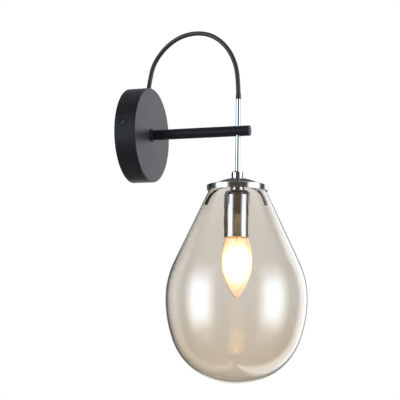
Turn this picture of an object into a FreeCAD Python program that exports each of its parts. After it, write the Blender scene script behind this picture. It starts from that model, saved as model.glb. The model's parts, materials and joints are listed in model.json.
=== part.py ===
import FreeCAD, Part
import math
import os

from FreeCAD import Vector

# A pendant wall light: a round canopy on the wall, a level arm, and a chrome rod that slides in the arm and
# carries a cap, a socket cup, a candle bulb and a teardrop of tinted glass. A cable arches from the canopy
# to the top of the rod. Sizes are in millimetres. +Z is up, +Y goes into the wall, +X is to the right of
# someone who faces the wall. The origin is on the wall, at the centre of the canopy's back.

# Fits
thread_gap = 0.05  # between a screw and the hole that it turns in
press_gap = 0.02  # round a piece that is pushed in and stays
slide_gap = 0.06  # round the rod in its guide
through_gap = 0.25  # round a shank that only passes through
seat_gap = 0.1  # between two pieces that come apart

# Canopy
canopy_dia = 110.0
canopy_depth = 25.0
canopy_wall = 1.2
canopy_edge_round = 1.4
canopy_turn = 7.0  # degrees, clockwise as seen from the room, to the line of its side screws
cable_turn = 16.0  # the same way, to the cable's hole
dimple_dia = 8.6
dimple_depth = 2.2
side_screw_depth = 10.0  # from the wall to the screw's axis
side_screw_dia = 4.0
side_screw_length = 8.0
side_head_dia = 7.0
side_head_height = 1.7

# Wall bracket
strap_width = 18.0
strap_thickness = 2.0
strap_bend_round = 1.5  # inside the bend
tab_above_screw = 6.0
tab_corner_round = 5.0
wall_hole_circle = 64.0
wall_hole_dia = 5.2
lug_width = 18.0
lug_length = 24.0
lug_corner_round = 3.0

# Cable and its two ends
cable_dia = 5.2
gland_depth = 12.5  # from the wall to the cable's axis
gland_wall = 0.5
gland_flange_height = 0.8
gland_flange_lip = 0.6
gland_ring_height = 2.6
gland_ring_lip = 0.9
sleeve_height = 7.0
sleeve_wall = 0.4
sleeve_taper = 0.2

# Leads
lead_dia = 1.7
lead_spread = 1.05  # from the cable's axis to each lead's axis
lead_run_in = 9.0  # straight, inside the canopy's rim
lead_bend_level = 24.0  # where the brown and blue leads pass over the strap
lead_bend_share = 0.9  # of the terminal's distance from the middle
lead_bend_rise = 1.5  # above the terminal's axis
lead_run_out = 9.0  # straight, into a terminal
earth_lead_bend = (12.0, 29.0, 9.0)
earth_lead_run_out = 6.0
lead_fan_rise = 3.0  # above the wire chamber, where the leads in the rod start to part
lead_above_post = 1.6

# Arm
arm_dia = 12.0
arm_wall = 1.5
arm_past_rod = 13.2  # from the rod's axis to the tube's end
collar_dia = 15.4
collar_length = 2.2
collar_chamfer = 0.6
insert_length = 16.0
arm_screw_dia = 6.0
arm_screw_grip = 13.0  # how far it goes into the insert
arm_screw_flats = 10.0
arm_screw_head = 4.0
arm_washer_dia = 11.8
arm_washer_height = 1.2
arm_washer_split = 1.2
plug_edge = 1.0
plug_crown = 0.8
plug_spigot = 5.0
rod_reach = 130.0  # from the wall to the rod's axis
block_length = 14.0
grub_dia = 4.0
grub_sink = 0.5
grub_key = 2.0
grub_key_depth = 1.6

# Terminal block
block_width = 20.0
block_height = 16.0
block_thickness = 12.0
block_edge_round = 1.0
pole_spacing = 10.0
pole_screw_spacing = 8.0
pole_axis_height = 5.0  # from the block's back to the wire's axis
tube_outer_dia = 4.4
tube_bore_dia = 2.8
pole_screw_dia = 2.6
slot_width = 0.6
slot_depth = 0.7
cross_slot_share = 0.6  # of the head's width
fixing_screw_dia = 3.0
fixing_head_dia = 5.4
fixing_head_height = 1.8
fixing_head_recess = 1.0
earth_screw_dia = 4.0
earth_head_dia = 7.0
earth_head_height = 2.4
earth_screw_offset = 17.0  # from the canopy's axis, along the strap
earth_tag_dia = 7.6
earth_tag_thickness = 0.8
earth_barrel_dia = 3.2
earth_barrel_length = 6.0
earth_tongue_overlap = 0.5

# Rod and coupler
rod_dia = 5.5
rod_bore_dia = 4.0
rod_above = 37.0  # from the arm's axis up to the rod's top
coupler_drop = 47.0  # from the arm's axis down to the coupler's top
coupler_dia = 14.0
coupler_height = 7.5
coupler_chamfer = 1.3
rod_in_coupler = 3.4

# Cap, gasket and nipple
cap_dia = 70.0
cap_wall = 1.0
cap_land_dia = 17.0
cap_rise = 8.1  # from the flat rim up to the land under the coupler
cap_dome_share = 0.64  # of the rise, at the middle of the dome
cap_rim_dia = 58.0
cap_lip = 6.4
cap_edge_round = 0.9
nipple_dia = 10.0
nipple_bore_dia = 7.0
nipple_in_coupler = 3.0
gasket_width = 4.0
gasket_height = 1.4
nut_flats = 14.0
nut_height = 5.0

# Spring clip
clip_count = 2
clip_first_angle = -44.7
clip_thickness = 0.8
clip_hub_dia = 20.0
clip_arm_width = 5.0
clip_arm_route = [(8.6, 0.0), (12.0, -4.4), (18.0, -8.8), (26.0, -12.0), (32.0, -16.5), (35.6, -22.3),
                  (37.6, -27.9)]
clip_sleeve_from = 3  # the point of the arm's route where the sleeve starts
clip_sleeve_wall = 0.8
clip_sleeve_round = 0.48

# Socket cup and lampholder
cup_dia = 29.0
cup_wall = 0.8
cup_length = 63.2
cup_neck_dia = 16.0
cup_neck_height = 11.2
cup_shoulder_round = 6.5
holder_gap = 0.15
holder_length = 41.0
holder_top_chamfer = 4.6
nipple_in_holder = 9.5
chamber_dia = 16.0
chamber_height = 6.6
chamber_depth = 14.9
holder_floor = 2.0
holder_mouth_dia = 18.6
holder_mouth_depth = 5.0
shell_bore_dia = 14.3
shell_wall = 0.7
shell_length = 22.0
contact_dia = 3.2
contact_foot_dia = 6.0
contact_foot_height = 0.8
contact_length = 5.4
post_dia = 2.8
post_height = 3.5
post_circle = 9.0

# Glass shade
glass_dia = 160.0
glass_wall = 2.2
glass_height = 221.4
glass_rim_dia = 63.2
glass_cone_angle = 24.9  # from the vertical
glass_belly_drop = 125.6  # from the rim to the widest level
glass_side_fullness = 1.21164  # below the widest level, times the round of an oval
glass_side_angle = 20.7  # how far round the side goes
glass_bottom_round = 109.0

# Candle bulb
bulb_length = 99.5
bulb_dia = 35.0
bulb_belly_height = 42.0  # from the tip to the widest level
bulb_glass = 0.8
bulb_neck_dia = 12.9
bulb_mouth_dia = 14.6
bulb_mouth_drop = 1.6
bulb_side_round = 62.0  # below the widest level
bulb_side_angle = 20.0
bulb_tip_round = 3.6
bulb_neck_in_base = 2.0  # above the base's skirt
base_thread_dia = 13.8
base_wall = 0.4
base_length = 18.0
base_chamfer = 0.8
base_skirt_dia = 16.4
base_skirt_height = 2.6
tip_contact_dia = 4.4
tip_contact_height = 1.0
tip_contact_edge = 0.35
insulator_height = 1.9
insulator_dia = 12.0
stem_dia = 4.6
stem_length = 14.0
stem_flare_height = 7.0
stem_seal_height = 1.0
stem_waist_pull = 1.0
support_wire_dia = 0.7
support_spread = 13.0
support_length = 20.0
support_root = 4.0  # straight, below the stem
support_foot = 2.0  # straight, above the filament
filament_dia = 1.1
filament_sag = 8.0

# The cable's way between its two straight ends
cable_straight_out = 13.5  # past the canopy's rim
cable_straight_in = 14.0  # above the rod
cable_bends = [(20.5, -17.0, 91.0), (18.0, -37.0, 112.5), (14.0, -62.5, 122.0), (10.0, -90.5, 119.0),
               (5.5, -113.0, 102.5), (2.0, -126.5, 78.0)]
bend_share = 0.45  # of the shorter run, taken by each arc

# Levels, from the arm's axis downwards
cap_top = -coupler_drop - coupler_height
cap_rim_top = cap_top - cap_rise
cap_bottom = cap_rim_top - cap_lip
nut_top = cap_top - cap_wall
clip_top = nut_top - nut_height
cup_top = clip_top - clip_thickness
cup_shoulder = cup_top - cup_neck_height
glass_top = cap_rim_top - cap_wall - gasket_height - seat_gap
glass_bottom = glass_top - glass_height
belly_level = glass_top - glass_belly_drop
holder_top = cup_top - cup_wall
holder_body_top = cup_shoulder - cup_wall
holder_bottom = holder_body_top - holder_length
chamber_top = holder_top - chamber_depth
chamber_bottom = chamber_top - chamber_height
holder_seat = chamber_bottom - holder_floor
bulb_top = holder_seat - contact_length - seat_gap
insulator_top = bulb_top - tip_contact_height
base_top = insulator_top - insulator_height
base_bottom = base_top - base_length
bulb_tip = bulb_top - bulb_length
bulb_belly = bulb_tip + bulb_belly_height

arm_length = rod_reach + arm_past_rod - canopy_depth
canopy_radius = canopy_dia / 2
dimple_floor = canopy_radius - dimple_depth
tab_face = dimple_floor - canopy_wall
rod_radius = rod_dia / 2
arm_bore_radius = arm_dia / 2 - arm_wall
cable_radius = cable_dia / 2
right, up, out = Vector(1, 0, 0), Vector(0, 1, 0), Vector(0, 0, 1)
origin = Vector(0, 0, 0)

# The way to the cable's hole, and the way across it, on the canopy as it is drawn
gland_turn = math.radians(cable_turn - canopy_turn)
gland_way = Vector(math.sin(gland_turn), math.cos(gland_turn), 0)
gland_across = gland_way.cross(out)


class Outline:
    """Half of a turned piece, drawn as (radius, height), and spun about Z when it is closed."""

    def __init__(self, radius, height):
        self.start = self.at = Vector(radius, 0, height)
        self.edges = []

    def line(self, *points):
        for radius, height in points:
            end = Vector(radius, 0, height)
            self.edges.append(Part.LineSegment(self.at, end).toShape())
            self.at = end
        return self

    def arc(self, middle, end):
        middle, end = Vector(middle[0], 0, middle[1]), Vector(end[0], 0, end[1])
        self.edges.append(Part.Arc(self.at, middle, end).toShape())
        self.at = end
        return self

    def corner(self, centre, radius, first, last):
        """A round corner about a centre, from one angle to another in degrees."""
        points = []
        for angle in (first, (first + last) / 2, last):
            turn = math.radians(angle)
            points.append((centre[0] + radius * math.cos(turn), centre[1] + radius * math.sin(turn)))
        if self.at.distanceToPoint(Vector(points[0][0], 0, points[0][1])) > 1e-6:
            self.line(points[0])
        return self.arc(points[1], points[2])

    def along(self, arcs):
        """Follows a row of arcs, each given as its centre, its radius and its first and last angle."""
        for arc in arcs:
            self.corner(*arc)
        return self

    def back_inside(self, arcs, wall):
        """Follows the same arcs the other way, one wall further in."""
        for centre, radius, first, last in reversed(arcs):
            self.corner(centre, radius - wall, last, first)
        return self

    def bezier(self, *poles):
        curve = Part.BezierCurve()
        curve.setPoles([self.at] + [Vector(radius, 0, height) for radius, height in poles])
        self.edges.append(curve.toShape())
        self.at = Vector(poles[-1][0], 0, poles[-1][1])
        return self

    def dome(self, rise):
        """A part of a sphere, from here to the axis."""
        edge, level = self.at.x, self.at.z
        radius = (edge ** 2 + rise ** 2) / (2 * abs(rise))
        drop = abs(rise) - radius + math.sqrt(radius ** 2 - (edge / 2) ** 2)
        return self.arc((edge / 2, level + math.copysign(drop, rise)), (0, level + rise))

    def spin(self):
        if self.at.distanceToPoint(self.start) > 1e-6:
            self.line((self.start.x, self.start.z))
        return Part.Face(Part.Wire(self.edges)).revolve(origin, out, 360)


def round_bottom(widest, level, bottom, side, side_angle, end):
    """Three tangent arcs from a widest level down to the axis: the side, a corner that fits, and the end."""
    turn = math.radians(side_angle)
    away = Vector(math.cos(turn), 0, -math.sin(turn))
    side_centre, end_centre = Vector(widest - side, 0, level), Vector(0, 0, bottom + end)
    join = side_centre + away * side
    reach = join - end_centre
    corner = (reach.dot(reach) - end ** 2) / (2 * (reach.dot(away) - end))
    corner_centre = join - away * corner
    across = corner_centre - end_centre if end > corner else end_centre - corner_centre
    end_angle = math.degrees(math.atan2(across.z, across.x))
    return [((side_centre.x, level), side, 0, -side_angle),
            ((corner_centre.x, corner_centre.z), corner, -side_angle, end_angle),
            ((0, end_centre.z), end, end_angle, -90)]


def bar(radius, start, direction, length):
    return Part.makeCylinder(radius, length, start, direction)


def ring(outer_radius, inner_radius, start, direction, length):
    return bar(outer_radius, start, direction, length).cut(bar(inner_radius, start, direction, length))


def block(low, high):
    """A box between two corners."""
    size = Vector(*high) - Vector(*low)
    return Part.makeBox(size.x, size.y, size.z, Vector(*low))


def hexagon(flats, start, length):
    """A hexagonal bar along Z, by the distance between its flats."""
    corner_radius = flats / 2 / math.cos(math.radians(30))
    points = []
    for step in range(7):
        turn = math.radians(60 * step)
        points.append(start + Vector(corner_radius * math.cos(turn), corner_radius * math.sin(turn), 0))
    return Part.Face(Part.makePolygon(points)).extrude(out * length)


def rounded_edges(shape, radius, wanted):
    """Fillets the edges whose centre passes a test."""
    return shape.makeFillet(radius, [edge for edge in shape.Edges if wanted(edge.CenterOfMass)])


def together(pieces):
    """Separate solids kept in one file."""
    return Part.makeCompound(pieces)


def bent_path(points):
    """Straight runs joined by tangent arcs, and the arcs' radii."""
    points = [Vector(*point) for point in points]
    edges, radii = [], []
    at = points[0]
    for before, corner, after in zip(points, points[1:], points[2:]):
        back, ahead = before - corner, after - corner
        reach = bend_share * min(back.Length, ahead.Length)
        half_turn = (math.pi - back.getAngle(ahead)) / 2
        radius = reach / math.tan(half_turn)
        back.normalize()
        ahead.normalize()
        enter, leave = corner + back * reach, corner + ahead * reach
        inward = back + ahead
        inward.normalize()
        middle = corner + inward * (radius / math.cos(half_turn) - radius)
        edges.append(Part.LineSegment(at, enter).toShape())
        edges.append(Part.Arc(enter, middle, leave).toShape())
        radii.append(radius)
        at = leave
    edges.append(Part.LineSegment(at, points[-1]).toShape())
    return Part.Wire(edges), radii


def wire_along(points, radius):
    """A round wire or cable along a route."""
    path, radii = bent_path(points)
    start, ahead = Vector(*points[0]), Vector(*points[1]) - Vector(*points[0])
    section = Part.Wire(Part.Circle(start, ahead, radius).toShape())
    return path.makePipeShell([section], True, False), path, radii


def on_wall(shape, turned=True):
    """Stands up a piece drawn lying on its back: X right, Y up, Z out of the wall."""
    shape = shape.copy()
    shape.rotate(origin, right, 90)
    if turned:
        shape.rotate(origin, up, canopy_turn)
    return shape


def on_rod(shape):
    """Moves a piece drawn about Z out to the rod's axis."""
    shape = shape.copy()
    shape.translate(Vector(0, -rod_reach, 0))
    return shape


def both_sides(make):
    """Two copies of what make(side) gives, on the right and on the left."""
    return [make(side) for side in (1, -1)]


# Wall bracket, canopy and their screws, drawn lying on their backs

def wall_bracket():
    tab_top = side_screw_depth + tab_above_screw
    half_width = strap_width / 2
    outer = block((-tab_face, -half_width, 0), (tab_face, half_width, tab_top))
    outer = rounded_edges(outer, strap_bend_round + strap_thickness,
                          lambda at: abs(at.x) > tab_face - 0.01 and abs(at.y) < 0.01 and at.z < 0.01)
    inner_face = tab_face - strap_thickness
    inner = block((-inner_face, -strap_width, strap_thickness), (inner_face, strap_width, 2 * tab_top))
    inner = rounded_edges(inner, strap_bend_round,
                          lambda at: abs(at.x) > inner_face - 0.01 and abs(at.y) < 0.01 and at.z < tab_top)
    strap = outer.cut(inner)
    strap = rounded_edges(strap, tab_corner_round,
                          lambda at: abs(at.y) > half_width - 0.01 and at.z > tab_top - 0.01)
    lug_end = -half_width - lug_length
    lug = block((-lug_width / 2, lug_end, 0), (lug_width / 2, -half_width, strap_thickness))
    lug = rounded_edges(lug, lug_corner_round,
                        lambda at: at.y < lug_end + 0.01 and abs(at.x) > lug_width / 2 - 0.01)
    strap = strap.fuse(lug).removeSplitter()
    for side in (1, -1):
        strap = strap.cut(bar(wall_hole_dia / 2, right * (side * wall_hole_circle / 2), out, strap_thickness))
        strap = strap.cut(bar(side_screw_dia / 2 + thread_gap, Vector(0, 0, side_screw_depth),
                              right * side, canopy_radius))
    strap = strap.cut(bar(earth_screw_dia / 2 + thread_gap, right * earth_screw_offset, out, strap_thickness))
    fixing = Vector(0, terminal_middle(), 0)
    return strap.cut(bar(fixing_screw_dia / 2 + thread_gap, fixing, out, strap_thickness))


def terminal_middle():
    """The level of the terminal block's middle, on the lug."""
    return -strap_width / 2 - lug_length / 2


def canopy_cup():
    front, face = canopy_depth, canopy_depth - canopy_wall
    inside = canopy_radius - canopy_wall
    inner_round = canopy_edge_round - canopy_wall / 2
    hole = arm_screw_dia / 2 + through_gap
    cup = Outline(hole, face)
    cup.corner((inside - inner_round, face - inner_round), inner_round, 90, 0)
    cup.line((inside, 0), (canopy_radius, 0))
    cup.corner((canopy_radius - canopy_edge_round, front - canopy_edge_round), canopy_edge_round, 0, 90)
    cup = cup.line((hole, front)).spin()
    screw_axis = Vector(0, 0, side_screw_depth)
    for side in (1, -1):
        boss = bar(dimple_dia / 2 + canopy_wall, screw_axis + right * (side * tab_face), right * side,
                   canopy_radius - tab_face)
        boss = boss.common(bar(canopy_radius, origin, out, canopy_depth))
        cup = cup.fuse(boss)
        cup = cup.cut(bar(dimple_dia / 2, screw_axis + right * (side * dimple_floor), right * side,
                          canopy_radius))
        cup = cup.cut(bar(side_screw_dia / 2 + through_gap, screw_axis, right * side, canopy_radius))
    gland_radius = cable_radius + thread_gap + gland_wall + press_gap
    return cup.cut(bar(gland_radius, out * gland_depth, gland_way, canopy_radius))


def side_screw(side):
    """A pan-head screw whose head sits on the floor of the canopy's dimple."""
    seat = Vector(0, 0, side_screw_depth) + right * (side * dimple_floor)
    head = bar(side_head_dia / 2, seat, right * side, side_head_height)
    crown = side_head_height - slot_depth
    rim = seat.x + side * side_head_height
    head = rounded_edges(head, crown / 2, lambda at: abs(at.x - rim) < 0.01)
    long = side_head_dia * cross_slot_share
    for length, width in ((long, slot_width), (slot_width, long)):
        low = Vector(seat.x + side * crown, -length / 2, side_screw_depth - width / 2)
        high = Vector(seat.x + side * 2 * side_head_height, length / 2, side_screw_depth + width / 2)
        head = head.cut(block((min(low.x, high.x), low.y, low.z), (max(low.x, high.x), high.y, high.z)))
    return head.fuse(bar(side_screw_dia / 2, seat, right * -side, side_screw_length))


def canopy_side_screws():
    return together(both_sides(side_screw))


def cable_gland():
    """A snap-in bush: a thin flange outside the rim, a ring inside it, and a seat for the cable's end."""
    foot = out * gland_depth
    rim = canopy_radius
    inner = rim - canopy_wall
    body_radius = cable_radius + thread_gap + gland_wall
    top = rim + gland_flange_height
    bottom = inner - gland_ring_height
    flange = bar(body_radius + gland_flange_lip, foot + gland_way * inner, gland_way, top - inner)
    flange = flange.cut(bar(canopy_radius, origin, out, canopy_depth))
    keeper = bar(body_radius + gland_ring_lip, foot + gland_way * bottom, gland_way, gland_ring_height)
    keeper = keeper.common(bar(inner, origin, out, canopy_depth))
    gland = bar(body_radius, foot + gland_way * bottom, gland_way, top - bottom).fuse([flange, keeper])
    gland = gland.cut(bar(cable_radius + thread_gap, foot + gland_way * rim, gland_way, 2 * gland_flange_height))
    return gland.cut(bar(lead_bunch_radius() + thread_gap, foot, gland_way, rim)).removeSplitter()


def lead_bunch_radius():
    return lead_spread + lead_dia / 2


# Arm, drawn pointing out of the wall

def arm_collar():
    collar = ring(collar_dia / 2, arm_dia / 2 + press_gap, out * canopy_depth, out, collar_length)
    front = canopy_depth + collar_length
    outer_edge = [edge for edge in collar.Edges
                  if len(edge.Vertexes) == 1 and abs(edge.CenterOfMass.z - front) < 0.01
                  and edge.Curve.Radius > arm_dia / 2 + 2 * press_gap]
    return collar.makeChamfer(collar_chamfer, outer_edge)


def arm_tube():
    tube = ring(arm_dia / 2, arm_bore_radius, out * canopy_depth, out, arm_length)
    tube = tube.cut(bar(rod_radius + through_gap, Vector(0, -arm_dia, rod_reach), up, 2 * arm_dia))
    return tube.cut(bar(grub_dia / 2 + through_gap, Vector(0, 0, rod_reach), right, arm_dia))


def arm_threaded_insert():
    return ring(arm_bore_radius - press_gap, arm_screw_dia / 2 + thread_gap, out * canopy_depth, out,
                insert_length)


def arm_lock_washer():
    washer = ring(arm_washer_dia / 2, arm_screw_dia / 2 + through_gap,
                  out * (canopy_depth - canopy_wall - arm_washer_height), out, arm_washer_height)
    split = block((0, -arm_washer_split / 2, 0), (arm_washer_dia, arm_washer_split / 2, canopy_depth))
    return washer.cut(split)


def arm_fixing_screw():
    seat = canopy_depth - canopy_wall - arm_washer_height
    head = hexagon(arm_screw_flats, out * (seat - arm_screw_head), arm_screw_head)
    shank = bar(arm_screw_dia / 2, out * seat, out, canopy_depth + arm_screw_grip - seat)
    return head.fuse(shank)


def arm_clamp_block():
    """A plug in the arm with a bore for the rod and a threaded side hole for its grub screw."""
    guide = bar(arm_bore_radius - press_gap, out * (rod_reach - block_length / 2), out, block_length)
    guide = guide.cut(bar(rod_radius + slide_gap, Vector(0, -arm_dia, rod_reach), up, 2 * arm_dia))
    return guide.cut(bar(grub_dia / 2 + thread_gap, out * rod_reach, right, arm_dia))


def rod_set_screw():
    tip = Vector(rod_radius + slide_gap, 0, rod_reach)
    length = arm_dia / 2 - grub_sink - tip.x
    screw = bar(grub_dia / 2, tip, right, length)
    key = hexagon(grub_key, origin, grub_key_depth)
    key.rotate(origin, up, 90)
    key.translate(tip + right * (length - grub_key_depth))
    return screw.cut(key)


def arm_end_plug():
    face = canopy_depth + arm_length
    edge = face + plug_edge
    spigot = arm_bore_radius - press_gap
    plug = Outline(0, face - plug_spigot).line((spigot, face - plug_spigot), (spigot, face))
    return plug.line((arm_dia / 2, face), (arm_dia / 2, edge)).dome(plug_crown).spin()


# Terminal block, earth screw and the leads inside the canopy

def poles():
    return [-pole_spacing / 2, pole_spacing / 2]


def pole_screw_levels():
    return [terminal_middle() - pole_screw_spacing / 2, terminal_middle() + pole_screw_spacing / 2]


def terminal_block():
    middle, back = terminal_middle(), strap_thickness
    body = block((-block_width / 2, middle - block_height / 2, back),
                 (block_width / 2, middle + block_height / 2, back + block_thickness))
    front = back + block_thickness
    body = rounded_edges(body, block_edge_round, lambda at: at.z > back + 0.01)
    for x in poles():
        start = Vector(x, middle - block_height, back + pole_axis_height)
        body = body.cut(bar(tube_outer_dia / 2 + press_gap, start, up, 2 * block_height))
        for level in pole_screw_levels():
            body = body.cut(bar(pole_screw_dia / 2 + through_gap, Vector(x, level, back + pole_axis_height),
                                out, front))
    body = body.cut(bar(fixing_screw_dia / 2 + through_gap, Vector(0, middle, 0), out, 2 * front))
    recess = Vector(0, middle, front - fixing_head_height - fixing_head_recess)
    return body.cut(bar(fixing_head_dia / 2 + through_gap, recess, out, block_thickness))


def terminal_tubes():
    """The two brass tubes that clamp the wires, with a threaded hole for each screw."""
    tubes = []
    for x in poles():
        start = Vector(x, terminal_middle() - block_height / 2, strap_thickness + pole_axis_height)
        tube = ring(tube_outer_dia / 2, tube_bore_dia / 2, start, up, block_height)
        for level in pole_screw_levels():
            tube = tube.cut(bar(pole_screw_dia / 2 + thread_gap, Vector(x, level, start.z), out,
                                block_thickness))
        tubes.append(tube)
    return together(tubes)


def slotted(head, centre, top, width):
    """Cuts a screwdriver slot in a head that faces Z."""
    slot = block((centre.x - slot_width / 2, centre.y - width, top - slot_depth),
                 (centre.x + slot_width / 2, centre.y + width, top + slot_depth))
    return head.cut(slot)


def terminal_screws():
    lead_top = strap_thickness + pole_axis_height + lead_dia / 2 + thread_gap
    top = strap_thickness + block_thickness - slot_depth
    screws = []
    for x in poles():
        for level in pole_screw_levels():
            screw = bar(pole_screw_dia / 2, Vector(x, level, lead_top), out, top - lead_top)
            screws.append(slotted(screw, Vector(x, level, 0), top, pole_screw_dia))
    return together(screws)


def terminal_block_screw():
    middle = terminal_middle()
    seat = strap_thickness + block_thickness - fixing_head_height - fixing_head_recess
    head = bar(fixing_head_dia / 2, Vector(0, middle, seat), out, fixing_head_height)
    head = slotted(head, Vector(0, middle, 0), seat + fixing_head_height, fixing_head_dia)
    return head.fuse(bar(fixing_screw_dia / 2, Vector(0, middle, 0), out, seat))


def earth_screw():
    at = right * earth_screw_offset
    seat = strap_thickness + earth_tag_thickness
    head = bar(earth_head_dia / 2, at + out * seat, out, earth_head_height)
    head = slotted(head, at, seat + earth_head_height, earth_head_dia)
    return head.fuse(bar(earth_screw_dia / 2, at, out, seat))


def earth_barrel_start():
    """The mouth of the earth tag's barrel, where its lead goes in."""
    return Vector(earth_screw_offset, earth_tag_dia / 2 + earth_barrel_length,
                  strap_thickness + earth_barrel_dia / 2)


def earth_tag():
    """A ring under the screw's head, with a crimped barrel for the lead."""
    at = right * earth_screw_offset + out * strap_thickness
    ring_hole = bar(earth_screw_dia / 2 + through_gap, at, out, earth_tag_thickness)
    tongue = block((earth_screw_offset - earth_barrel_dia / 2, 0, strap_thickness),
                   (earth_screw_offset + earth_barrel_dia / 2, earth_tag_dia / 2 + earth_tongue_overlap,
                    strap_thickness + earth_tag_thickness))
    tag = bar(earth_tag_dia / 2, at, out, earth_tag_thickness).fuse(tongue).cut(ring_hole)
    mouth = earth_barrel_start()
    barrel = bar(earth_barrel_dia / 2, mouth, up * -1, earth_barrel_length)
    barrel = barrel.cut(bar(lead_dia / 2 + thread_gap, mouth, up * -1, earth_barrel_length / 2))
    return tag.fuse(barrel).removeSplitter()


def lead_start(index):
    """Where one of the three leads stands beside the cable's axis."""
    turn = math.radians(120 * index)
    return lead_spread * math.cos(turn), lead_spread * math.sin(turn)


def canopy_lead(index):
    """A lead from the cable's end to its terminal, over the strap."""
    across, depth = lead_start(index)
    rim = gland_way * canopy_radius + gland_across * across + out * (gland_depth + depth)
    inside = rim - gland_way * lead_run_in
    if index == 0:
        end = earth_barrel_start()
        last = (end.x, end.y - earth_barrel_length / 2, end.z)
        before = (end.x, end.y + earth_lead_run_out, end.z)
        return wire_along([rim, inside, earth_lead_bend, before, last], lead_dia / 2)[0]
    pole = poles()[index - 1]
    axis = strap_thickness + pole_axis_height
    top = terminal_middle() + block_height / 2
    end = terminal_middle() + pole_screw_spacing / 2 - pole_screw_dia / 2
    over_strap = (pole * lead_bend_share, lead_bend_level, axis + lead_bend_rise)
    route = [rim, inside, over_strap, (pole, top + lead_run_out, axis), (pole, end, axis)]
    return wire_along(route, lead_dia / 2)[0]


# Cable

def cable():
    turn = math.radians(cable_turn)
    exits = [Vector(reach * math.sin(turn), -gland_depth, reach * math.cos(turn))
             for reach in (canopy_radius, canopy_radius + cable_straight_out)]
    enters = [(0, -rod_reach, rod_above + cable_straight_in), (0, -rod_reach, rod_above)]
    tube, path, radii = wire_along(exits + cable_bends + enters, cable_radius)
    print("cable length %.1f, arc radii %s" % (path.Length, [round(radius, 1) for radius in radii]))
    print("cable volume %.0f, section times length %.0f"
          % (tube.Volume, math.pi * cable_radius ** 2 * path.Length))
    return tube


# Pendant, drawn about Z

def cable_end_sleeve():
    bore = cable_radius + thread_gap
    outer = bore + sleeve_wall
    top = rod_above + sleeve_height
    sleeve = Outline(bore, rod_above).line((outer, rod_above), (outer - sleeve_taper, top), (bore, top))
    return sleeve.spin()


def rod_tube():
    length = rod_above + coupler_drop + rod_in_coupler
    return ring(rod_radius, rod_bore_dia / 2, out * rod_above, out * -1, length)


def rod_coupler():
    top, radius = -coupler_drop, coupler_dia / 2
    socket = rod_radius + thread_gap
    thread = nipple_dia / 2 + thread_gap
    floor, step = top - rod_in_coupler, cap_top + nipple_in_coupler
    bore = rod_bore_dia / 2
    coupler = Outline(socket, top).line((radius - coupler_chamfer, top), (radius, top - coupler_chamfer))
    coupler.line((radius, cap_top), (thread, cap_top), (thread, step), (bore, step), (bore, floor))
    return coupler.line((socket, floor)).spin()


def shade_cap():
    """A spun cap: a land under the coupler, a shallow dome, a flat rim and a straight lip."""
    hole = nipple_dia / 2 + through_gap
    land, rim, radius = cap_land_dia / 2, cap_rim_dia / 2, cap_dia / 2
    crest = (land + rim) / 2
    rise = cap_rise * cap_dome_share
    cap = Outline(hole, cap_top).line((land, cap_top))
    cap.arc((crest, cap_rim_top + rise), (rim, cap_rim_top))
    cap.corner((radius - cap_edge_round, cap_rim_top - cap_edge_round), cap_edge_round, 90, 0)
    cap.line((radius, cap_bottom), (radius - cap_wall, cap_bottom))
    under = cap_rim_top - cap_wall
    cap.line((radius - cap_wall, under), (rim, under))
    cap.arc((crest, under + rise), (land, cap_top - cap_wall))
    return cap.line((hole, cap_top - cap_wall)).spin()


def cap_gasket():
    outer = cap_dia / 2 - cap_wall - press_gap
    return ring(outer, outer - gasket_width, out * (cap_rim_top - cap_wall), out * -1, gasket_height)


def cap_nipple():
    start = cap_top + nipple_in_coupler
    length = start - (holder_top - nipple_in_holder)
    return ring(nipple_dia / 2, nipple_bore_dia / 2, out * start, out * -1, length)


def cap_lock_nut():
    nut = hexagon(nut_flats, out * clip_top, nut_height)
    return nut.cut(bar(nipple_dia / 2 + thread_gap, out * clip_top, out, nut_height))


def clip_path(first=0):
    """The spring arm's middle line in the XZ plane, from one of its points to the tip."""
    level = clip_top - clip_thickness / 2
    points = [(radius, 0, level + height) for radius, height in clip_arm_route[first:]]
    return bent_path(points)[0]


def clip_strip(path, thickness, width):
    """A strip bent along a flat path, with rounded ends."""
    strip = path.makeOffset2D(thickness / 2, 0, True, True).extrude(up * width)
    strip.translate(up * (-width / 2))
    return strip


def round_the_rod(piece):
    """Copies of a piece at each of the spring clip's arms."""
    copies = []
    for index in range(clip_count):
        copy = piece.copy()
        copy.rotate(origin, out, clip_first_angle + index * 360 / clip_count)
        copies.append(copy)
    return copies


def spring_clip():
    hub = bar(clip_hub_dia / 2, out * clip_top, out * -1, clip_thickness)
    arm = clip_strip(clip_path(), clip_thickness, clip_arm_width)
    clip = hub.fuse(round_the_rod(arm))
    return clip.cut(bar(nipple_dia / 2 + through_gap, out * clip_top, out * -1, clip_thickness))


def clip_sleeves():
    """A soft sleeve on each arm, closed a little past its tip."""
    path = clip_path(clip_sleeve_from)
    thickness = clip_thickness + 2 * clip_sleeve_wall
    width = clip_arm_width + 2 * clip_sleeve_wall
    sleeve = clip_strip(path, thickness, width)
    sleeve = rounded_edges(sleeve, clip_sleeve_round, lambda at: abs(at.y) > width / 2 - 0.01)
    sleeve = sleeve.cut(clip_strip(clip_path(), clip_thickness + 2 * press_gap,
                                   clip_arm_width + 2 * press_gap))
    return together(round_the_rod(sleeve))


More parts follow.
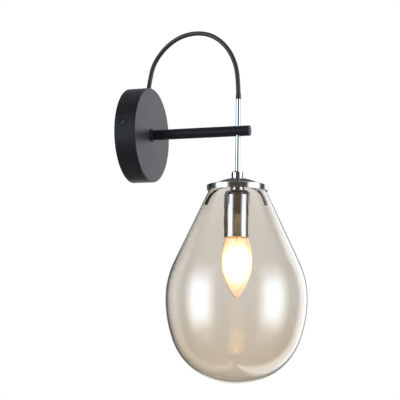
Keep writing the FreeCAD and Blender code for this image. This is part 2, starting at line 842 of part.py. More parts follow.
def socket_cup():
    """A drawn cup: a narrow neck up to the clip, a round shoulder and a straight side."""
    hole = nipple_dia / 2 + through_gap
    neck, radius, round_ = cup_neck_dia / 2, cup_dia / 2, cup_shoulder_round
    bottom = cup_top - cup_length
    inner_neck, inner = neck - cup_wall, radius - cup_wall
    inner_round = round_ - cup_wall
    centre = (radius - round_, cup_shoulder - round_)
    cup = Outline(hole, cup_top).line((neck, cup_top), (neck, cup_shoulder))
    cup.corner(centre, round_, 90, 0).line((radius, bottom), (inner, bottom))
    cup.corner(centre, inner_round, 0, 90).line((inner_neck, cup_shoulder - cup_wall))
    return cup.line((inner_neck, cup_top - cup_wall), (hole, cup_top - cup_wall)).spin()


def lampholder_body():
    """A moulded body: a boss in the cup's neck, a wire chamber, a floor and the bore for the bulb."""
    boss = cup_neck_dia / 2 - cup_wall - holder_gap
    radius = cup_dia / 2 - cup_wall - holder_gap
    thread = nipple_dia / 2 + thread_gap
    bore = shell_bore_dia / 2 + shell_wall + press_gap
    mouth = holder_mouth_dia / 2
    top = holder_body_top - holder_gap
    body = Outline(thread, holder_top).line((boss, holder_top), (boss, top))
    body.line((radius - holder_top_chamfer, top), (radius, top - holder_top_chamfer))
    body.line((radius, holder_bottom), (mouth, holder_bottom))
    body.line((mouth, holder_bottom + holder_mouth_depth), (bore, holder_bottom + holder_mouth_depth))
    body.line((bore, holder_seat), (contact_dia / 2 + press_gap, holder_seat))
    body.line((contact_dia / 2 + press_gap, chamber_bottom), (chamber_dia / 2, chamber_bottom))
    return body.line((chamber_dia / 2, chamber_top), (thread, chamber_top)).spin()


def lampholder_shell():
    bore, outer = shell_bore_dia / 2, shell_bore_dia / 2 + shell_wall
    hole = contact_foot_dia / 2 + shell_wall
    shell = Outline(hole, holder_seat).line((outer, holder_seat), (outer, holder_seat - shell_length))
    return shell.line((bore, holder_seat - shell_length), (bore, holder_seat - shell_wall),
                      (hole, holder_seat - shell_wall)).spin()


def lampholder_contact():
    """The middle contact: a rivet through the floor with a sprung foot that meets the bulb's tip."""
    rivet, foot = contact_dia / 2, contact_foot_dia / 2
    low = holder_seat - contact_length
    contact = Outline(0, chamber_bottom).line((rivet, chamber_bottom), (rivet, holder_seat))
    contact.line((foot, holder_seat), (foot, holder_seat - contact_foot_height))
    contact.line((rivet, holder_seat - contact_foot_height), (rivet, low + contact_foot_height))
    return contact.dome(-contact_foot_height).spin()


def lampholder_terminals():
    posts = []
    for index in range(3):
        x, y = lead_start(index)
        foot = Vector(x, y, 0) * (post_circle / 2 / lead_spread)
        posts.append(bar(post_dia / 2, foot + out * chamber_bottom, out, post_height))
    return together(posts)


def rod_lead(index):
    """A lead down the rod, the coupler and the nipple, spread to its post in the chamber."""
    x, y = lead_start(index)
    spread = post_circle / 2 / lead_spread
    post_top = chamber_bottom + post_height
    route = [(x, y, rod_above), (x, y, chamber_top + lead_fan_rise),
             (x * spread, y * spread, post_top + lead_above_post), (x * spread, y * spread, post_top)]
    return wire_along(route, lead_dia / 2)[0]


# Glass shade, drawn about Z

def glass_shade():
    """A blown teardrop, open at the top: a cone, a round shoulder and a deep bowl."""
    turn = math.radians(glass_cone_angle)
    rim, belly = glass_rim_dia / 2, glass_dia / 2
    side = glass_side_fullness * (belly_level - glass_bottom) ** 2 / belly
    shoulder = (glass_belly_drop * math.sin(turn) - (belly - rim) * math.cos(turn)) / (1 - math.cos(turn))
    arcs = [((belly - shoulder, belly_level), shoulder, glass_cone_angle, 0)]
    arcs += round_bottom(belly, belly_level, glass_bottom, side, glass_side_angle, glass_bottom_round)
    glass = Outline(rim - glass_wall / math.cos(turn), glass_top).line((rim, glass_top))
    return glass.along(arcs).back_inside(arcs, glass_wall).spin()


# Bulb, drawn about Z

def bulb_tip_contact():
    edge, shoulder = tip_contact_dia / 2, insulator_top + tip_contact_edge
    contact = Outline(0, insulator_top).line((edge, insulator_top), (edge, shoulder))
    return contact.dome(tip_contact_height - tip_contact_edge).spin()


def bulb_insulator():
    edge, wide = tip_contact_dia / 2, insulator_dia / 2
    insulator = Outline(0, insulator_top).line((edge, insulator_top), (wide, base_top), (0, base_top))
    return insulator.spin()


def bulb_base():
    """A thin metal shell with a closed top and a flared skirt."""
    outer, skirt = base_thread_dia / 2, base_skirt_dia / 2
    inner = outer - base_wall
    flare = base_bottom + base_skirt_height
    shoulder = base_top - base_chamfer
    base = Outline(0, base_top).line((insulator_dia / 2, base_top), (outer, shoulder), (outer, flare))
    base.line((skirt, base_bottom), (skirt - base_wall, base_bottom), (inner, flare))
    return base.line((inner, shoulder - base_wall), (0, shoulder - base_wall)).spin()


def bulb_envelope():
    """A candle of clear glass, from a neck in the base to a rounded point."""
    neck, mouth, belly = bulb_neck_dia / 2, bulb_mouth_dia / 2, bulb_dia / 2
    neck_top = base_bottom + base_skirt_height + bulb_neck_in_base
    drop, swell = base_bottom - bulb_mouth_drop - bulb_belly, belly - mouth
    shoulder = (drop ** 2 + swell ** 2) / (2 * swell)
    arcs = [((belly - shoulder, bulb_belly), shoulder, math.degrees(math.asin(drop / shoulder)), 0)]
    arcs += round_bottom(belly, bulb_belly, bulb_tip, bulb_side_round, bulb_side_angle, bulb_tip_round)
    envelope = Outline(neck - bulb_glass, neck_top).line((neck, neck_top), (neck, base_bottom))
    envelope.along(arcs).back_inside(arcs, bulb_glass)
    return envelope.line((neck - bulb_glass, base_bottom)).spin()


def bulb_stem():
    """The glass stem that holds the wires, flared where it is sealed in the neck."""
    seal = base_bottom + base_skirt_height
    flare = bulb_neck_dia / 2 - bulb_glass - press_gap
    radius, waist = stem_dia / 2, seal - stem_flare_height
    stem = Outline(0, seal).line((flare, seal), (flare, seal - stem_seal_height))
    stem.bezier((radius + stem_waist_pull, (seal + waist) / 2), (radius, waist),
                (radius, waist - stem_waist_pull))
    return stem.line((radius, seal - stem_length), (0, seal - stem_length)).spin()


def support_ends():
    """The top, the bend and the foot of each support wire."""
    stem_end = base_bottom + base_skirt_height - stem_length
    for side in (1, -1):
        near = side * (stem_dia / 2 - support_wire_dia)
        far = side * support_spread / 2
        foot = stem_end - support_length
        yield [(near, 0, stem_end), (near, 0, stem_end - support_root), (far, 0, foot + support_foot),
               (far, 0, foot)]


def bulb_support_wires():
    return together([wire_along(route, support_wire_dia / 2)[0] for route in support_ends()])


def bulb_filament():
    """The coiled filament as one thin arched rod between the support wires."""
    ends = [route[-1] for route in support_ends()]
    level = ends[0][2]
    half = support_spread / 2
    middle = Vector(0, 0, level - filament_sag)
    path = Part.Wire(Part.Arc(Vector(half, 0, level), middle, Vector(-half, 0, level)).toShape())
    tangent = path.Edges[0].tangentAt(path.Edges[0].FirstParameter)
    section = Part.Wire(Part.Circle(Vector(half, 0, level), tangent, filament_dia / 2).toShape())
    return path.makePipeShell([section], True, False)


turned_on_wall = {
    "wall_bracket": wall_bracket(),
    "canopy_cup": canopy_cup(),
    "canopy_side_screws": canopy_side_screws(),
    "cable_gland": cable_gland(),
    "terminal_block": terminal_block(),
    "terminal_tubes": terminal_tubes(),
    "terminal_screws": terminal_screws(),
    "terminal_block_screw": terminal_block_screw(),
    "earth_screw": earth_screw(),
    "earth_tag": earth_tag(),
    "canopy_lead_earth": canopy_lead(0),
    "canopy_lead_brown": canopy_lead(1),
    "canopy_lead_blue": canopy_lead(2),
}
straight_on_wall = {
    "arm_collar": arm_collar(),
    "arm_tube": arm_tube(),
    "arm_threaded_insert": arm_threaded_insert(),
    "arm_lock_washer": arm_lock_washer(),
    "arm_fixing_screw": arm_fixing_screw(),
    "arm_clamp_block": arm_clamp_block(),
    "rod_set_screw": rod_set_screw(),
    "arm_end_plug": arm_end_plug(),
}
hung_on_rod = {
    "cable_end_sleeve": cable_end_sleeve(),
    "rod_tube": rod_tube(),
    "rod_coupler": rod_coupler(),
    "rod_lead_earth": rod_lead(0),
    "rod_lead_brown": rod_lead(1),
    "rod_lead_blue": rod_lead(2),
    "shade_cap": shade_cap(),
    "cap_gasket": cap_gasket(),
    "cap_nipple": cap_nipple(),
    "cap_lock_nut": cap_lock_nut(),
    "spring_clip": spring_clip(),
    "clip_sleeves": clip_sleeves(),
    "socket_cup": socket_cup(),
    "lampholder_body": lampholder_body(),
    "lampholder_shell": lampholder_shell(),
    "lampholder_contact": lampholder_contact(),
    "lampholder_terminals": lampholder_terminals(),
    "glass_shade": glass_shade(),
    "bulb_tip_contact": bulb_tip_contact(),
    "bulb_insulator": bulb_insulator(),
    "bulb_base": bulb_base(),
    "bulb_envelope": bulb_envelope(),
    "bulb_stem": bulb_stem(),
    "bulb_support_wires": bulb_support_wires(),
    "bulb_filament": bulb_filament(),
}

nodes = {"cable": cable()}
nodes.update({name: on_wall(shape) for name, shape in turned_on_wall.items()})
nodes.update({name: on_wall(shape, turned=False) for name, shape in straight_on_wall.items()})
nodes.update({name: on_rod(shape) for name, shape in hung_on_rod.items()})

os.makedirs("parts", exist_ok=True)
for name, shape in nodes.items():
    if not shape.isValid():
        print("not valid:", name)
    shape.exportStep("parts/%s.step" % name)
print("%d pieces written" % len(nodes))
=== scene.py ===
import json
import math

import bmesh
import bpy
from mathutils import Matrix, Vector


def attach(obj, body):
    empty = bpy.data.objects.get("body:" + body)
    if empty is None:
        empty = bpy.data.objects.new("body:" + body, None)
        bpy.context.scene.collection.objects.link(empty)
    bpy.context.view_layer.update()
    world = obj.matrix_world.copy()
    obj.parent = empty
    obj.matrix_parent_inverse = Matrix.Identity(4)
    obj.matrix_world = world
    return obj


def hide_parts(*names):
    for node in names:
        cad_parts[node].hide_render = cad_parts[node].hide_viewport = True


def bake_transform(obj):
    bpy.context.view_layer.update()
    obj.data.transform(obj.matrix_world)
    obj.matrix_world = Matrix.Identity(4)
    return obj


# A pendant wall light, in metres, in the model's frame: +Z up, +Y into the wall, and the origin on the
# wall behind the canopy's middle. The rod, cap, shade and bulb share one upright axis. A piece's size
# that isn't multiplied by mm where it is named is in millimetres.

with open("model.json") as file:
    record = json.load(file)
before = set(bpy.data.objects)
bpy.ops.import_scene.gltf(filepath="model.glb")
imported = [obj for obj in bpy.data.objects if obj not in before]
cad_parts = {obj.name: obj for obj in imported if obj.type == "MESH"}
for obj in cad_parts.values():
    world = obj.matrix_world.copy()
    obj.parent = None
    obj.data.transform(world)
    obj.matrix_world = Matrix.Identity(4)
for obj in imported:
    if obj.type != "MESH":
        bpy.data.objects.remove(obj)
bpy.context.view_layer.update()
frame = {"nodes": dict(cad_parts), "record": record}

mm = 0.001
white = (1, 1, 1)
around = 96  # steps in a full turn

# Sizes that the new pieces share with the model
rod_axis = Vector((0, -130 * mm, 0))

# Cable, whose points are its route in the model
cable_dia = 5.2 * mm
cable_route = [(15.16, -12.5, 52.87), (18.88, -12.5, 65.85), (20.5, -17.0, 91.0), (18.0, -37.0, 112.5),
               (14.0, -62.5, 122.0), (10.0, -90.5, 119.0), (5.5, -113.0, 102.5), (2.0, -126.5, 78.0),
               (0.0, -130.0, 51.0), (0.0, -130.0, 37.0)]

# Glass shade: levels, radii and wall, and the rounds and angles of its arcs
glass_top, glass_belly, glass_bottom = -65.1, -190.7, -286.5
glass_rim_radius, glass_radius = 31.6, 80.0
glass_wall = 2.2
glass_cone_angle = 24.9  # from the vertical
glass_side_round, glass_side_angle, glass_bottom_round = 139.0, 20.7, 109.0

# Candle bulb, in the same way
bulb_neck_top, bulb_neck_bottom, bulb_mouth = -107.4, -112.0, -113.6
bulb_belly, bulb_tip = -148.6, -190.6
bulb_neck_radius, bulb_mouth_radius, bulb_radius = 6.45, 7.3, 17.5
bulb_wall = 0.8
bulb_side_round, bulb_side_angle, bulb_tip_round = 62.0, 20.0, 3.6

# Filament, an arch that hangs from its two ends
filament_half_span = 6.5
filament_level = -143.4
filament_sag = 8.0
coil_radius = 0.42
coil_wire_radius = 0.13
coil_turns = 26


# Shader maths

class Value:
    """A socket that Python's operators act on, through Math nodes."""

    def __init__(self, paint, socket):
        self.paint, self.socket = paint, socket

    def _with(self, operation, first, second=None):
        values = [first] if second is None else [first, second]
        return self.paint.node("Math", {"operation": operation}, dict(enumerate(values)))

    def __add__(self, other):
        return self._with("ADD", self, other)

    def __sub__(self, other):
        return self._with("SUBTRACT", self, other)

    def __mul__(self, other):
        return self._with("MULTIPLY", self, other)

    def __abs__(self):
        return self._with("ABSOLUTE", self)

    def __rsub__(self, other):
        return self._with("SUBTRACT", other, self)

    __radd__ = __add__
    __rmul__ = __mul__


class Paint:
    """The nodes of a material or a world, and the pattern tools that they share."""

    def __init__(self, owner):
        owner.use_nodes = True
        self.owner, self.tree = owner, owner.node_tree
        self.tree.nodes.clear()

    def node(self, kind, settings=None, sockets=None, output=0):
        """Adds a node, sets its settings and then its sockets, and gives one of its outputs."""
        node = self.tree.nodes.new("ShaderNode" + kind)
        for name, value in (settings or {}).items():
            if name == "stops":
                ramp = node.color_ramp
                while len(ramp.elements) < len(value):
                    ramp.elements.new(0.5)
                for element, (position, colour) in zip(ramp.elements, value):
                    element.position, element.color = position, (*colour, 1)
            else:
                setattr(node, name, value)
        for name, value in (sockets or {}).items():
            self.feed(node.inputs[name], value)
        return Value(self, node.outputs[output])

    def feed(self, socket, value):
        if isinstance(value, Value):
            self.tree.links.new(value.socket, socket)
        elif hasattr(value, "__len__") and socket.type == "RGBA" and len(value) == 3:
            socket.default_value = (*value, 1)
        else:
            socket.default_value = value

    def place(self):
        return self.node("TexCoord", output="Object")

    def noise(self, scale, detail=3.0, roughness=0.5, stretch=(1, 1, 1)):
        """A noise of about so many spots a metre, stretched along an axis if asked, from 0 to 1."""
        at = self.node("Mapping", {}, {"Vector": self.place(), "Scale": stretch})
        return self.node("TexNoise", {}, {"Vector": at, "Scale": scale, "Detail": detail,
                                          "Roughness": roughness}, output="Fac")

    def smooth(self, value, low, high):
        """A soft step, from 0 at the first level of a value to 1 at the second."""
        return self.node("MapRange", {"interpolation_type": "SMOOTHSTEP"},
                         {"Value": value, "From Min": low, "From Max": high}, output="Result")

    def band(self, value, low, full, still_full, high):
        """1 between two levels of a value, falling softly to 0 on either side."""
        return self.smooth(value, low, full) * self.smooth(value, high, still_full)

    def blend(self, share, first, second):
        """A colour between two colours."""
        return self.node("Mix", {"data_type": "RGBA"}, {"Factor": share, 6: first, 7: second}, output=2)

    def bump(self, height, distance, strength=1.0):
        return self.node("Bump", {}, {"Height": height, "Distance": distance, "Strength": strength})

    def xyz(self):
        parts = self.node("SeparateXYZ", {}, {0: self.place()}).socket.node
        return [Value(self, output) for output in parts.outputs]


class Finish(Paint):
    """A material with one main shader."""

    def __init__(self, name, **sockets):
        super().__init__(bpy.data.materials.new(name))
        self.shader = self.node("BsdfPrincipled").socket.node
        self.output = self.tree.nodes.new("ShaderNodeOutputMaterial")
        self.tree.links.new(self.shader.outputs[0], self.output.inputs["Surface"])
        self.set(**sockets)

    def set(self, **sockets):
        for name, value in sockets.items():
            self.feed(self.shader.inputs[name.replace("_", " ")], value)

    def clear_to(self, *rays, tint=white):
        """Lets the named kinds of ray straight through."""
        path = self.node("LightPath").socket.node
        first, *others = (Value(self, path.outputs[ray]) for ray in rays)
        clear = self.node("BsdfTransparent", {}, {"Color": tint})
        surface = Value(self, self.shader.outputs[0])
        mixed = self.node("MixShader", {}, {0: sum(others, first), 1: surface, 2: clear})
        self.tree.links.new(mixed.socket, self.output.inputs["Surface"])


def powder_coat():
    """Satin black: a fine orange-peel grain and a slightly uneven sheen."""
    coat = Finish("satin_black_coat", IOR=1.33, Sheen_Weight=0.12, Sheen_Roughness=0.35,
                  Sheen_Tint=(0.72, 0.84, 1.0))
    grain = coat.noise(2600, 2)
    cloud = coat.noise(38, 3)
    coat.set(Base_Color=coat.blend(cloud, (0.0085, 0.0093, 0.0108), (0.012, 0.013, 0.015)),
             Roughness=0.38 + 0.08 * cloud,
             Normal=coat.bump(grain, 0.03 * mm, 0.35))
    return coat


def chrome():
    """Polished chrome with the faintest smears."""
    metal = Finish("polished_chrome", Metallic=1.0)
    smear = metal.noise(55, 4, 0.6, (1, 1, 0.35))
    metal.set(Base_Color=metal.blend(smear, (0.53, 0.525, 0.52), (0.60, 0.595, 0.59)),
              Roughness=0.06 + 0.05 * smear)
    return metal


def plated(name, dull, bright, roughness):
    """A plated or drawn metal: mottled colour, fine scratches."""
    metal = Finish(name, Metallic=1.0)
    mottle = metal.noise(140, 4)
    scratch = metal.noise(900, 2, 0.6, (1, 1, 0.08))
    metal.set(Base_Color=metal.blend(mottle, dull, bright),
              Roughness=roughness + 0.12 * mottle,
              Normal=metal.bump(scratch, 0.01 * mm, 0.3))
    return metal


def moulded(name, colour, roughness):
    """Moulded plastic, rubber or ceramic: an even colour with a faint cloud and a fine skin."""
    skin = Finish(name)
    cloud = skin.noise(90, 3)
    fine = skin.noise(3200, 2)
    lighter = tuple(min(1.0, part * 1.18 + 0.002) for part in colour)
    skin.set(Base_Color=skin.blend(cloud, colour, lighter), Roughness=roughness + 0.08 * cloud,
             Normal=skin.bump(fine, 0.012 * mm, 0.3))
    return skin


def champagne_glass():
    """Blown glass with a champagne tint, deeper towards the bottom, and faint waves in its wall."""
    glass = Finish("champagne_glass", Transmission_Weight=1.0, IOR=1.6, Roughness=0.0)
    height = glass.smooth(glass.xyz()[2], -0.275, -0.175)
    wave = glass.noise(16, 2, 0.4, (1, 1, 0.6))
    deep, pale = (0.80, 0.73, 0.63), (0.85, 0.815, 0.765)
    glass.set(Base_Color=glass.blend(height, deep, pale), Normal=glass.bump(wave, 0.5 * mm, 0.12))
    glass.clear_to("Is Shadow Ray", tint=(0.85, 0.80, 0.72))
    return glass


def lamp_glass():
    """The bulb's clear glass, with a painted glow where the filament's light fills it: amber at the
    edges and brightest in its middle as faced.
    """
    glass = Finish("lamp_glass", Transmission_Weight=1.0, IOR=1.45, Roughness=0.06,
                   Base_Color=(1.0, 0.97, 0.92), Emission_Strength=1.0)
    # Painted glow: the glass emits in a band round the filament's height, most where it faces the view,
    # broken up by painted streaks.
    edge = glass.node("LayerWeight", {}, {"Blend": 0.5}, output="Facing")
    glow_streak = glass.noise(900, 2, 0.6, (1, 1, 0.03))
    middle = 1 - glass.smooth(edge + 0.5 * glow_streak, 0.22, 0.82)
    fill = glass.band(glass.xyz()[2], -0.190, -0.158, -0.148, -0.122) * middle
    amber, honey = (0.12, 0.055, 0.015), (0.30, 0.19, 0.075)
    cream, glare = (0.65, 0.52, 0.32), (5.0, 4.1, 2.8)
    stops = [(0.0, amber), (0.35, honey), (0.7, cream), (1.0, glare)]
    glass.set(Emission_Color=glass.node("ValToRGB", {"stops": stops}, {0: fill}))
    glass.clear_to("Is Shadow Ray")
    return glass


def glowing_wire():
    """The filament, alight."""
    wire = Finish("glowing_wire", Roughness=0.5, Base_Color=(1.0, 0.8, 0.5), Emission_Strength=26.0)
    flicker = wire.noise(400, 2)
    wire.set(Emission_Color=wire.blend(flicker, (1.0, 0.70, 0.34), (1.0, 0.80, 0.48)))
    return wire


def earth_insulation():
    """Green and yellow, in stripes along the lead."""
    skin = Finish("green_yellow_insulation")
    x, y = skin.xyz()[:2]
    wave = skin.node("Math", {"operation": "SINE"}, {0: (x + y * 0.6) * 3600})
    green, yellow = (0.02, 0.22, 0.03), (0.75, 0.62, 0.02)
    skin.set(Base_Color=skin.blend(skin.smooth(wave, -0.15, 0.15), green, yellow),
             Roughness=0.35 + 0.1 * skin.noise(200))
    return skin


finishes = {
    "zinc_steel": plated("zinc_steel", (0.42, 0.42, 0.40), (0.60, 0.60, 0.58), 0.28),
    "black_satin": powder_coat(),
    "bright_screw": plated("bright_nickel", (0.62, 0.60, 0.57), (0.76, 0.74, 0.70), 0.14),
    "black_rubber": moulded("black_rubber", (0.016, 0.016, 0.018), 0.5),
    "white_nylon": moulded("white_nylon", (0.66, 0.66, 0.62), 0.42),
    "brass": plated("brass", (0.55, 0.40, 0.16), (0.72, 0.55, 0.26), 0.22),
    "brown_lead": moulded("brown_insulation", (0.10, 0.035, 0.015), 0.35),
    "blue_lead": moulded("blue_insulation", (0.01, 0.07, 0.30), 0.35),
    "earth_lead": earth_insulation(),
    "raw_aluminium": plated("turned_aluminium", (0.60, 0.60, 0.61), (0.74, 0.74, 0.75), 0.24),
    "black_steel": plated("blackened_steel", (0.03, 0.03, 0.034), (0.07, 0.07, 0.075), 0.35),
    "black_cable": moulded("black_cable_sheath", (0.018, 0.018, 0.021), 0.34),
    "chrome": chrome(),
    "clear_silicone": moulded("clear_silicone", (0.55, 0.54, 0.50), 0.3),
    "spring_steel": plated("spring_steel", (0.20, 0.15, 0.12), (0.34, 0.28, 0.23), 0.3),
    "brown_silicone": moulded("brown_silicone", (0.055, 0.026, 0.017), 0.5),
    "white_ceramic": moulded("white_moulding", (0.68, 0.67, 0.63), 0.35),
    "champagne_glass": champagne_glass(),
    "nickel_shell": plated("nickel_shell", (0.60, 0.57, 0.50), (0.78, 0.75, 0.67), 0.18),
    "black_insulator": moulded("black_insulator", (0.012, 0.012, 0.013), 0.18),
    "bulb_glass": lamp_glass(),
    "nickel_wire": plated("nickel_wire", (0.50, 0.47, 0.42), (0.66, 0.62, 0.56), 0.25),
    "tungsten": glowing_wire(),
}


# Shapes

def arc(centre, radius, first, last, steps=16):
    """Points on an arc, given by its centre, radius and first and last angle in degrees."""
    points = []
    for step in range(steps + 1):
        turn = math.radians(first + (last - first) * step / steps)
        points.append((centre[0] + radius * math.cos(turn), centre[1] + radius * math.sin(turn)))
    return points


def shoulder(narrow, top, wide, level):
    """The arc that leaves a widest level upright and ends at a narrower one above it."""
    rise, swell = top - level, wide - narrow
    radius = (rise ** 2 + swell ** 2) / (2 * swell)
    return (wide - radius, level), radius, math.degrees(math.asin(rise / radius)), 0


def round_bottom(widest, level, bottom, side, side_angle, end):
    """Three tangent arcs from a widest level down to the axis: side, fitted corner and end."""
    turn = math.radians(side_angle)
    away = Vector((math.cos(turn), -math.sin(turn)))
    side_centre, end_centre = Vector((widest - side, level)), Vector((0, bottom + end))
    join = side_centre + away * side
    reach = join - end_centre
    corner = (reach.dot(reach) - end ** 2) / (2 * (reach.dot(away) - end))
    corner_centre = join - away * corner
    across = (corner_centre - end_centre) * (1 if end > corner else -1)
    end_angle = math.degrees(math.atan2(across.y, across.x))
    return [(side_centre, side, 0, -side_angle), (corner_centre, corner, -side_angle, end_angle),
            (end_centre, end, end_angle, -90)]


def skin(arcs, inset=0):
    """The points of a row of arcs, as far inside as asked, without the ones that repeat."""
    points = []
    for centre, radius, first, last in arcs:
        points += arc(centre, radius - inset, first, last)[1 if points else 0:]
    return points


def dressed(name, data, slot, node):
    """Puts a mesh or a curve in the scene, in its finish and in the place of a solid."""
    piece = bpy.data.objects.new(name, data)
    bpy.context.collection.objects.link(piece)
    data.materials.clear()
    data.materials.append(finishes[slot].owner)
    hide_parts(node)
    return piece


def spun(name, outline):
    """A closed outline in (radius, height), in millimetres, spun about the rod's axis."""
    bm = bmesh.new()
    verts = [bm.verts.new(rod_axis + Vector((radius, 0, height)) * mm) for radius, height in outline]
    edges = [bm.edges.new(pair) for pair in zip(verts, verts[1:] + verts[:1])]
    bmesh.ops.spin(bm, geom=verts + edges, cent=rod_axis, axis=(0, 0, 1), angle=2 * math.pi,
                   steps=around, use_merge=True)
    bmesh.ops.remove_doubles(bm, verts=bm.verts, dist=0.002 * mm)
    bmesh.ops.recalc_face_normals(bm, faces=bm.faces)
    mesh = bpy.data.meshes.new(name)
    bm.to_mesh(mesh)
    bm.free()
    mesh.shade_smooth()
    mesh.set_sharp_from_angle(angle=math.radians(60))
    return mesh


# Cable

def cable():
    """The cable as one smooth line through its listed points, ending on the rod's axis."""
    curve = bpy.data.curves.new("cable_sheath", "CURVE")
    curve.dimensions = "3D"
    spline = curve.splines.new("NURBS")
    spline.points.add(len(cable_route) - 1)
    for point, place in zip(spline.points, cable_route):
        point.co = (*(Vector(place) * mm), 1)
    spline.order_u = 3
    spline.use_endpoint_u = True
    spline.resolution_u = 24
    line = bpy.data.objects.new("cable_line", curve)
    path = [vertex.co.copy() for vertex in bpy.data.meshes.new_from_object(line).vertices]
    curve.bevel_depth = cable_dia / 2
    curve.bevel_resolution = 8
    curve.use_fill_caps = True
    piece = dressed("cable_sheath", bpy.data.meshes.new_from_object(line), "black_cable", "cable")
    bpy.data.objects.remove(line)
    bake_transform(piece)


# Glass shade and bulb

def glass_shade():
    """A cone, a shoulder and a deep bowl, with a rim that is melted round between the two skins."""
    turn = math.radians(glass_cone_angle)
    drop, swell = glass_top - glass_belly, glass_radius - glass_rim_radius
    shoulder_round = (drop * math.sin(turn) - swell * math.cos(turn)) / (1 - math.cos(turn))
    arcs = [((glass_radius - shoulder_round, glass_belly), shoulder_round, glass_cone_angle, 0)]
    arcs += round_bottom(glass_radius, glass_belly, glass_bottom, glass_side_round, glass_side_angle,
                         glass_bottom_round)
    half = glass_wall / 2
    lip_centre = (glass_rim_radius - half / math.cos(turn), glass_top - half)
    lip = arc(lip_centre, half, 180 + glass_cone_angle, glass_cone_angle, steps=8)
    mesh = spun("blown_glass", [*lip, *skin(arcs), *reversed(skin(arcs, glass_wall))])
    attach(dressed("blown_glass", mesh, "champagne_glass", "glass_shade"), "shade")


def bulb_glass():
    """A candle from a neck in the base to a rounded point."""
    arcs = [shoulder(bulb_mouth_radius, bulb_mouth, bulb_radius, bulb_belly)]
    arcs += round_bottom(bulb_radius, bulb_belly, bulb_tip, bulb_side_round, bulb_side_angle,
                         bulb_tip_round)
    bore = bulb_neck_radius - bulb_wall
    neck = [(bore, bulb_neck_bottom), (bore, bulb_neck_top),
            (bulb_neck_radius, bulb_neck_top), (bulb_neck_radius, bulb_neck_bottom)]
    mesh = spun("lamp_envelope", [*neck, *skin(arcs), *reversed(skin(arcs, bulb_wall))])
    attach(dressed("lamp_envelope", mesh, "bulb_glass", "bulb_envelope"), "bulb_glass")


def filament():
    """A fine coil along the arch between the two support wires."""
    radius = (filament_half_span ** 2 + filament_sag ** 2) / (2 * filament_sag)
    centre = filament_level - filament_sag + radius
    opening = math.acos((radius - filament_sag) / radius)
    curve = bpy.data.curves.new("coiled_filament", "CURVE")
    curve.dimensions = "3D"
    spline = curve.splines.new("POLY")
    steps = 10 * coil_turns
    spline.points.add(steps)
    for step, point in enumerate(spline.points):
        along = opening * (2 * step / steps - 1)
        coil = 2 * math.pi * coil_turns * step / steps
        outward = radius + coil_radius * math.cos(coil)
        place = Vector((outward * math.sin(along), coil_radius * math.sin(coil),
                        centre - outward * math.cos(along)))
        point.co = (*(rod_axis + place * mm), 1)
    curve.bevel_depth = coil_wire_radius * mm
    curve.bevel_resolution = 1
    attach(dressed("coiled_filament", curve, "tungsten", "bulb_filament"), "bulb_glass")


def dress_solids():
    """Gives each solid the finish of its slot."""
    slots = {part["node"]: part["material_slot"] for part in frame["record"]["subparts"]}
    for node, solid in frame["nodes"].items():
        solid.data.materials.clear()
        solid.data.materials.append(finishes[slots[node]].owner)


# Studio

floor_level, floor_reach = -0.42, 6
view_turn, view_pitch, view_roll = (math.radians(angle) for angle in (-70.235, 7.42, 0.757))
view_distance = 1.718
view_target = Vector((0, -0.08496, -0.07793))
view_lens = 135.1
toward_camera = Vector((math.sin(view_turn), -math.cos(view_turn), 0))


def camera():
    """The photograph's view: on the lamp's -X side, in the room, and a little below it."""
    ahead = -toward_camera * math.cos(view_pitch) + Vector((0, 0, math.sin(view_pitch)))
    side = ahead.cross(Vector((0, 0, 1))).normalized()
    over = side.cross(ahead)
    level, lean = math.cos(view_roll), math.sin(view_roll)
    side, over = side * level + over * lean, over * level - side * lean
    place = view_target - ahead * view_distance
    data = bpy.data.cameras.new("camera")
    data.lens, data.sensor_width = view_lens, 36.0
    data.clip_start, data.clip_end = 0.05, 50
    rig = bpy.data.objects.new("camera", data)
    rig.matrix_world = Matrix.Translation(place) @ Matrix((side, over, -ahead)).transposed().to_4x4()
    bpy.context.collection.objects.link(rig)
    bpy.context.scene.camera = rig


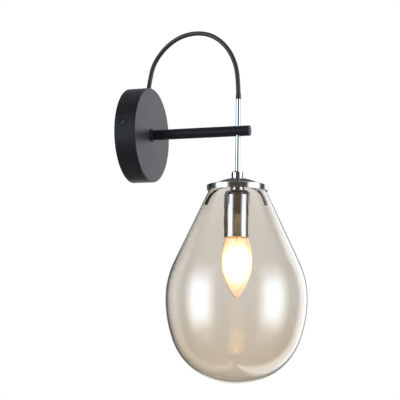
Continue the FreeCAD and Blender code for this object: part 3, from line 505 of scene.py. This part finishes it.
def surround():
    """A white sheet behind, a tall soft box either side of the camera, a lit wall, and dark flags.

    The turn is in degrees from the camera's direction, and the rise is the sine of the height."""
    world = Paint(bpy.data.worlds.new("studio"))
    bpy.context.scene.world = world.owner
    world.owner.cycles.sampling_method = "NONE"
    direction = world.node("TexCoord", output="Generated")
    across, toward = (world.node("VectorMath", {"operation": "DOT_PRODUCT"}, {0: direction, 1: axis},
                                 output="Value")
                      for axis in ((-toward_camera.y, toward_camera.x, 0), tuple(toward_camera)))
    rise = world.node("SeparateXYZ", {}, {0: direction}, output="Z")
    turn = world.node("Math", {"operation": "ARCTAN2"}, {0: across, 1: toward}) * (180 / math.pi)
    away = abs(turn)
    boxes = world.band(away, 30, 58, 70, 98) * world.band(rise, -0.48, -0.15, 0.22, 0.72)
    sheet = world.smooth(away, 164, 174) * world.smooth(abs(rise), 0.5, 0.3)
    wall = world.band(turn, 112, 132, 148, 166)
    above = world.smooth(rise, 0.80, 0.97)
    below = world.smooth(rise, -0.45, -0.8)
    gloss = 0.13 + 4.2 * boxes + sheet + 1.7 * wall + 0.4 * above + 0.15 * below
    soft = 0.4 + 1.3 * world.band(turn, 20, 70, 130, 170) + 0.4 * above
    path = world.node("LightPath").socket.node
    backdrop = (Value(world, path.outputs["Is Camera Ray"])
                + Value(world, path.outputs["Is Transmission Ray"]))
    bounced = world.smooth(Value(world, path.outputs["Glossy Depth"]), 0.4, 0.6)
    strength = bounced * gloss + (1 - bounced) * (backdrop + (1 - backdrop) * soft)
    near_camera, elsewhere, box_light = (1.0, 0.80, 0.62), (0.96, 0.98, 1.0), (0.66, 0.83, 1.0)
    colour = world.blend(world.smooth(away, 20, 34), near_camera, elsewhere)
    tint = world.blend(bounced, white, world.blend(boxes, colour, box_light))
    light = world.node("Background", {}, {"Color": tint, "Strength": strength})
    output = world.tree.nodes.new("ShaderNodeOutputWorld")
    world.tree.links.new(light.socket, output.inputs["Surface"])


def floor():
    """Pale paper that keeps the shadow, and that glass and metal look past."""
    bm = bmesh.new()
    bmesh.ops.create_grid(bm, x_segments=1, y_segments=1, size=floor_reach)
    bmesh.ops.translate(bm, verts=bm.verts, vec=(0, 0, floor_level))
    mesh = bpy.data.meshes.new("floor")
    bm.to_mesh(mesh)
    bm.free()
    ground = bpy.data.objects.new("floor", mesh)
    bpy.context.collection.objects.link(ground)
    paper = Finish("floor_paper", Base_Color=(0.86, 0.86, 0.86), Roughness=0.9)
    paper.clear_to("Is Glossy Ray", "Is Transmission Ray")
    mesh.materials.append(paper.owner)


def lamp(name, place, target, size, power):
    """A round soft lamp that isn't mirrored in metal or glass."""
    data = bpy.data.lights.new(name, "AREA")
    data.shape, data.size, data.energy = "DISK", size, power
    light = bpy.data.objects.new(name, data)
    light.visible_glossy = light.visible_transmission = False
    aim = (Vector(target) - Vector(place)).to_track_quat("-Z", "Y")
    light.matrix_world = Matrix.Translation(place) @ aim.to_matrix().to_4x4()
    bpy.context.collection.objects.link(light)


dress_solids()
camera()
cable()
glass_shade()
bulb_glass()
filament()
surround()
floor()
lamp("key_light", place=(0.35, -1.6, 0.9), target=(0, -0.05, 0), size=0.8, power=22)

bpy.context.scene.view_settings.view_transform = "Standard"
